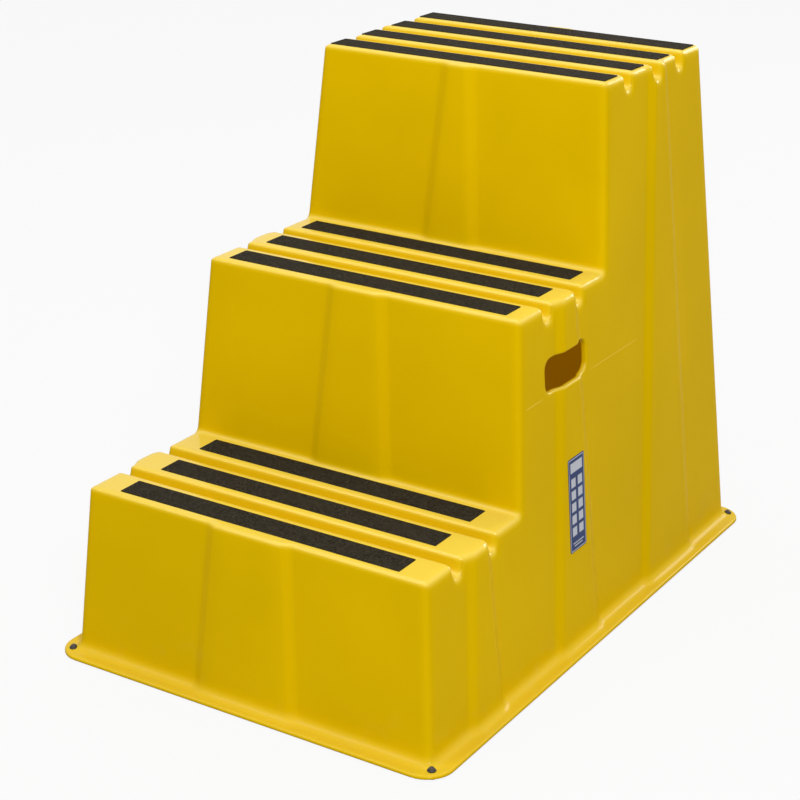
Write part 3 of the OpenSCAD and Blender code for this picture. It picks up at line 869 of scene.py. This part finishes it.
def grit_finish(colour):
    """Grip tape: black mineral grit with dark pits and a few bright grains."""
    f = Finish("grip_tape")
    grain = f.node("TexVoronoi", {"feature": "F1"}, {"Vector": f.place(), "Scale": 1700.0})
    tone = f.node("TexWhiteNoise", inputs={"Vector": Wire(f.tree, grain.socket.node.outputs["Position"])})
    coarse = f.noise(560.0, 5.0, 0.85)
    patch = f.noise(30.0, 3.0)
    base = f.mix(coarse.step(0.40, 0.62), tint(colour, 0.2), tint(colour, 2.5))
    base = f.mix(patch.step(0.35, 0.75) * 0.25, base, tint(colour, (1.7, 1.6, 1.5)))
    base = f.mix(tone.step(0.90, 0.99) * 0.5, base, (0.16, 0.15, 0.135))
    rough = 0.62 + coarse * 0.25
    height = coarse * 0.6 + grain.step(0.55, 0.0) * 0.6
    return f.surface(Base_Color=base, Roughness=rough, Normal=f.bump(height, 0.0005, 0.9),
                     Specular_IOR_Level=0.02)


def rubber_finish(colour):
    """Black rubber, greyed by dust on its crown."""
    f = Finish("black_rubber")
    x, y, z = f.axes()
    grain = f.noise(1500.0, 3.0, 0.6)
    crown = z.step(0.0100, 0.0124) * f.noise(260.0, 3.0).step(0.2, 0.7)
    base = f.mix(grain.step(0.35, 0.7), tint(colour, 0.7), tint(colour, 1.4))
    base = f.mix(crown * 0.55, base, (0.105, 0.082, 0.055))
    return f.surface(Base_Color=base, Roughness=0.55 + grain * 0.15, Normal=f.bump(grain, 0.00012, 0.6))


def label_finish(s, low, high):
    """Plain navy film with a pale keyline, a pale head panel and two columns of plain pale blocks."""
    f = Finish("label_film")
    x, y, z = f.axes()
    mid_y, wide = (low[1] + high[1]) / 2, high[1] - low[1]
    mid_z, tall = (low[2] + high[2]) / 2, high[2] - low[2]
    u, v = (y - mid_y) * (1 / wide), (z - mid_z) * (1 / tall)
    def block(cu, cv, hu, hv, soft=0.006):
        return abs(u - cu).step(hu + soft, hu - soft) * abs(v - cv).step(hv + soft / 3, hv - soft / 3)
    border = block(0, 0, 0.465, 0.488) - block(0, 0, 0.445, 0.481)
    blocks = block(0, 0.395, 0.36, 0.052)
    for row in (0.235, 0.105, -0.025, -0.155, -0.285):
        for col in (-0.205, 0.205):
            blocks = blocks + block(col, row, 0.135, 0.047, 0.02)
    blocks = blocks + block(0, -0.41, 0.33, 0.006) + block(0, -0.44, 0.25, 0.006)
    fade = f.noise(45.0, 4.0)
    base = f.mix(fade.step(0.3, 0.75), tint(s.colour, 0.9), tint(s.colour, 1.15))
    base = f.mix(border * 0.75, base, s.border)
    base = f.mix(blocks * 0.72, base, tint(s.border, 0.92))
    return f.surface(Base_Color=base, Roughness=0.26 + fade * 0.12, Normal=f.bump(f.noise(160.0, 2.0), 0.00008, 0.4),
                     Specular_IOR_Level=0.08)


# ---------------------------------------------------------------- operators


class BuildShell(bpy.types.Operator):
    """Build the hollow moulded body with its ribs, grooves, hand slots and flange"""
    bl_idname = "mounting_block.shell"
    bl_label = "Moulded body"

    def execute(self, context):
        s = context.scene.block_shell
        block = Block(s)
        piece = make_piece("block_shell", block.patches())
        if open_edges(piece):
            raise RuntimeError(f"block_shell has {open_edges(piece)} open edges")
        co = np.zeros(len(piece.data.vertices) * 3)
        piece.data.vertices.foreach_get("co", co)
        co = co.reshape(-1, 3)
        # bend measures how convex the body is; the plastic paints highlights on convex edges and shade in concave
        # creases from it.
        bend = np.where(np.abs(block.body(co)) < 0.003, block.bend(co), 0.0)
        store = piece.data.attributes.new("bend", "FLOAT", "POINT")
        store.data.foreach_set("value", bend.astype(np.float32))
        # inside marks the inner skin, which the plastic makes glow as painted light.
        inside = np.clip(-block.body(co) / s.wall * 2 - 1, 0, 1) * (co[:, 2] > 0.02)
        store = piece.data.attributes.new("inside", "FLOAT", "POINT")
        store.data.foreach_set("value", inside.astype(np.float32))
        piece.data.materials.append(plastic_finish(s.colour))
        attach(piece, "root")
        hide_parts("moulded_shell")
        return {"FINISHED"}


STRIPS = ["low_strip_front", "low_strip_centre", "low_strip_rear",
          "mid_strip_front", "mid_strip_centre", "mid_strip_rear",
          "top_strip_front", "top_strip_second", "top_strip_third", "top_strip_rear"]
FEET = ["foot_front_left", "foot_front_right", "foot_back_left", "foot_back_right"]


class BuildStrips(bpy.types.Operator):
    """Lay the grip strips on the treads"""
    bl_idname = "mounting_block.strips"
    bl_label = "Grip strips"

    def execute(self, context):
        s = context.scene.block_strips
        finish = grit_finish(s.colour)
        for node in STRIPS:
            low, high = (np.array(c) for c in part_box(node))
            size = high - low
            rings = slab_rings(size[0], size[1], size[2], s.plan_radius, s.edge_radius)
            rings = rings + np.array([(low[0] + high[0]) / 2, (low[1] + high[1]) / 2, low[2]])
            piece = make_piece("grip_" + node, [wrap(rings)])
            if open_edges(piece):
                raise RuntimeError(f"{piece.name} is not closed")
            piece.data.materials.append(finish)
            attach(piece, "root")
            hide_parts(node)
        return {"FINISHED"}


class BuildFeet(bpy.types.Operator):
    """Turn the rubber feet: pad, stem and domed head"""
    bl_idname = "mounting_block.feet"
    bl_label = "Rubber feet"

    def execute(self, context):
        s = context.scene.block_feet
        flange = context.scene.block_shell
        top = flange.flange_low + flange.flange_thick
        finish = rubber_finish(s.colour)
        for node in FEET:
            low, high = (np.array(c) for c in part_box(node))
            pad, head, stem = (high[0] - low[0]) / 2, s.head / 2, s.stem / 2
            tall, skin = high[2], flange.flange_low
            a = np.linspace(0, math.pi / 2, 7)
            crown = 0.0034
            profile = [(1e-5, 0.0), (pad - 0.0012, 0.0), (pad - 0.0004, 0.0003), (pad, 0.0011), (pad, skin - 0.0007),
                       (pad - 0.0006, skin - 0.0001), (pad - 0.0012, skin), (stem + 0.0003, skin), (stem, skin + 0.0003),
                       (stem, top - 0.0002), (stem + 0.0002, top), (head - 0.0004, top), (head, top + 0.0004),
                       (head - 0.0004, top + 0.0012)]
            profile += [(crown * math.cos(t) + 1e-5, tall - 0.0018 + 0.0018 * math.sin(t)) for t in a]
            rings = lathe(np.array(profile), s.turns) + np.array([(low[0] + high[0]) / 2, (low[1] + high[1]) / 2, 0.0])
            piece = make_piece("rubber_" + node, [wrap(rings)])
            if open_edges(piece):
                raise RuntimeError(f"{piece.name} is not closed")
            piece.data.materials.append(finish)
            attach(piece, "root")
            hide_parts(node)
        return {"FINISHED"}


class BuildLabel(bpy.types.Operator):
    """Stick the blank label on the right wall's middle rib"""
    bl_idname = "mounting_block.label"
    bl_label = "Blank label"

    def execute(self, context):
        s = context.scene.block_label
        shell = context.scene.block_shell
        block = Block(shell)
        low, high = (np.array(c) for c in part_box("side_label"))
        thick = 0.0004
        tall = (high[2] - low[2]) * math.hypot(1, shell.side_lean)
        rings = slab_rings(tall, high[1] - low[1], thick, 0.0025, 0.00015)
        mid = (low + high) / 2
        y = mid[1] + rings[..., 1]
        z = mid[2] + rings[..., 0] / math.hypot(1, shell.side_lean)
        x = block.half_width(z) + shell.rib_height * math.hypot(1, shell.side_lean) + rings[..., 2]
        x = x - max(0.0, float(x.max()) - high[0])
        piece = make_piece("side_label_film", [wrap(np.stack([x, y, z], axis=-1))])
        if open_edges(piece):
            raise RuntimeError("the label is not closed")
        piece.data.materials.append(label_finish(s, low, high))
        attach(piece, "root")
        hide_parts("side_label")
        return {"FINISHED"}


class BuildStage(bpy.types.Operator):
    """Set up the floor, the light and the camera"""
    bl_idname = "mounting_block.stage"
    bl_label = "Stage"

    def execute(self, context):
        s = context.scene.block_stage
        scene = context.scene
        scene.view_settings.view_transform = "Standard"
        mesh = bpy.data.meshes.new("floor")
        mesh.from_pydata([(-30, -30, 0), (30, -30, 0), (30, 30, 0), (-30, 30, 0)], [], [(0, 1, 2, 3)])
        floor = bpy.data.objects.new("floor", mesh)
        scene.collection.objects.link(floor)
        floor.data.materials.append(floor_finish(s.floor_colour))
        set_world(scene)
        lamp("top_light", (-0.4, 0.5, 3.4), (0.0, 0.0, 0.5), 2.4, 45)
        lamp("key_light", (2.6, -2.5, 3.0), (0.0, 0.0, 0.5), 1.0, 130)
        lamp("fill_light", (-1.6, -2.2, 2.9), (0.0, 0.1, 0.6), 1.8, 36)
        lamp("back_light", (0.9, 3.6, 1.7), (0.0, 0.0, 0.45), 1.4, 45)
        camera = bpy.data.objects.new("camera", bpy.data.cameras.new("camera"))
        scene.collection.objects.link(camera)
        camera.data.lens, camera.data.sensor_width = s.lens, 36.0
        camera.data.clip_end = 200
        az, el, roll = s.azimuth, s.elevation, s.roll
        back = np.array([math.sin(az) * math.cos(el), -math.cos(az) * math.cos(el), math.sin(el)])
        right = np.cross(-back, [0, 0, 1])
        right /= np.linalg.norm(right)
        up = np.cross(right, -back)
        turned = math.cos(roll) * right + math.sin(roll) * up
        tipped = math.cos(roll) * up - math.sin(roll) * right
        world = Matrix(np.stack([turned, tipped, back], axis=1).tolist()).to_4x4()
        world.translation = Vector(s.camera_place)
        camera.matrix_world = world
        scene.camera = camera
        return {"FINISHED"}


def floor_finish(colour):
    """Pale matt floor, lifted towards white where it is seen directly, keeping the shadow."""
    f = Finish("pale_floor")
    path = f.tree.nodes.new("ShaderNodeLightPath")
    direct = Wire(f.tree, path.outputs["Is Camera Ray"])
    glossy = Wire(f.tree, path.outputs["Is Glossy Ray"])
    clear = Wire(f.tree, path.outputs["Is Transmission Ray"])
    matt = f.node("BsdfDiffuse", inputs={"Color": colour4(colour)})
    glow = f.node("Emission", inputs={"Color": (1.0, 1.0, 1.0, 1.0), "Strength": 1.0})
    lift = direct.math("MINIMUM", direct + glossy + clear, 1.0) * 0.92
    both = f.tree.nodes.new("ShaderNodeMixShader")
    for slot, value in zip(both.inputs, (lift, matt, glow)):
        plug(f.tree, slot, value)
    f.output(Wire(f.tree, both.outputs[0]))
    return f.material


def set_world(scene):
    """Even white surroundings, white where seen directly."""
    world = bpy.data.worlds.new("studio")
    scene.world = world
    world.use_nodes = True
    tree = world.node_tree
    tree.nodes.clear()
    path = tree.nodes.new("ShaderNodeLightPath")
    seen = [Wire(tree, path.outputs[k]) for k in ("Is Camera Ray", "Is Glossy Ray", "Is Transmission Ray")]
    seen = seen[0].math("MINIMUM", seen[0] + seen[1] + seen[2], 1.0)
    background = tree.nodes.new("ShaderNodeBackground")
    plug(tree, background.inputs["Color"], (1.0, 1.0, 1.0, 1.0))
    plug(tree, background.inputs["Strength"], seen * 0.65 + 0.35)
    end = tree.nodes.new("ShaderNodeOutputWorld")
    tree.links.new(background.outputs[0], end.inputs[0])


def lamp(name, place, target, size, power):
    """A square soft light of a size in metres and a power in watts, aimed at a point."""
    data = bpy.data.lights.new(name, "AREA")
    data.shape, data.size, data.energy = "SQUARE", size, power
    light = bpy.data.objects.new(name, data)
    bpy.context.scene.collection.objects.link(light)
    light.location = place
    light.rotation_euler = (Vector(target) - Vector(place)).to_track_quat("-Z", "Y").to_euler()
    return light


OPERATORS = [BuildShell, BuildStrips, BuildFeet, BuildLabel, BuildStage]
SETTINGS = {"block_shell": ShellSettings, "block_strips": StripSettings, "block_feet": FootSettings,
            "block_label": LabelSettings, "block_stage": StageSettings}


class BlockPanel(bpy.types.Panel):
    """Buttons and settings of the mounting block"""
    bl_idname = "VIEW3D_PT_mounting_block"
    bl_label = "Mounting block"
    bl_space_type = "VIEW_3D"
    bl_region_type = "UI"
    bl_category = "Mounting block"

    def draw(self, context):
        for operator, name in zip(OPERATORS, SETTINGS):
            box = self.layout.box()
            box.operator(operator.bl_idname)
            group = getattr(context.scene, name)
            for key in group.__annotations__:
                box.prop(group, key)


def register():
    """Registers the settings, the operators and the panel."""
    for name, group in SETTINGS.items():
        bpy.utils.register_class(group)
        setattr(bpy.types.Scene, name, PointerProperty(type=group))
    for kind in OPERATORS + [BlockPanel]:
        bpy.utils.register_class(kind)


def unregister():
    """Removes what register added."""
    for kind in reversed(OPERATORS + [BlockPanel]):
        bpy.utils.unregister_class(kind)
    for name, group in reversed(list(SETTINGS.items())):
        delattr(bpy.types.Scene, name)
        bpy.utils.unregister_class(group)


def main():
    register()
    for kind in OPERATORS:
        group, action = kind.bl_idname.split(".")
        getattr(getattr(bpy.ops, group), action)()
    bpy.context.view_layer.update()


if __name__ == "__main__":
    main()
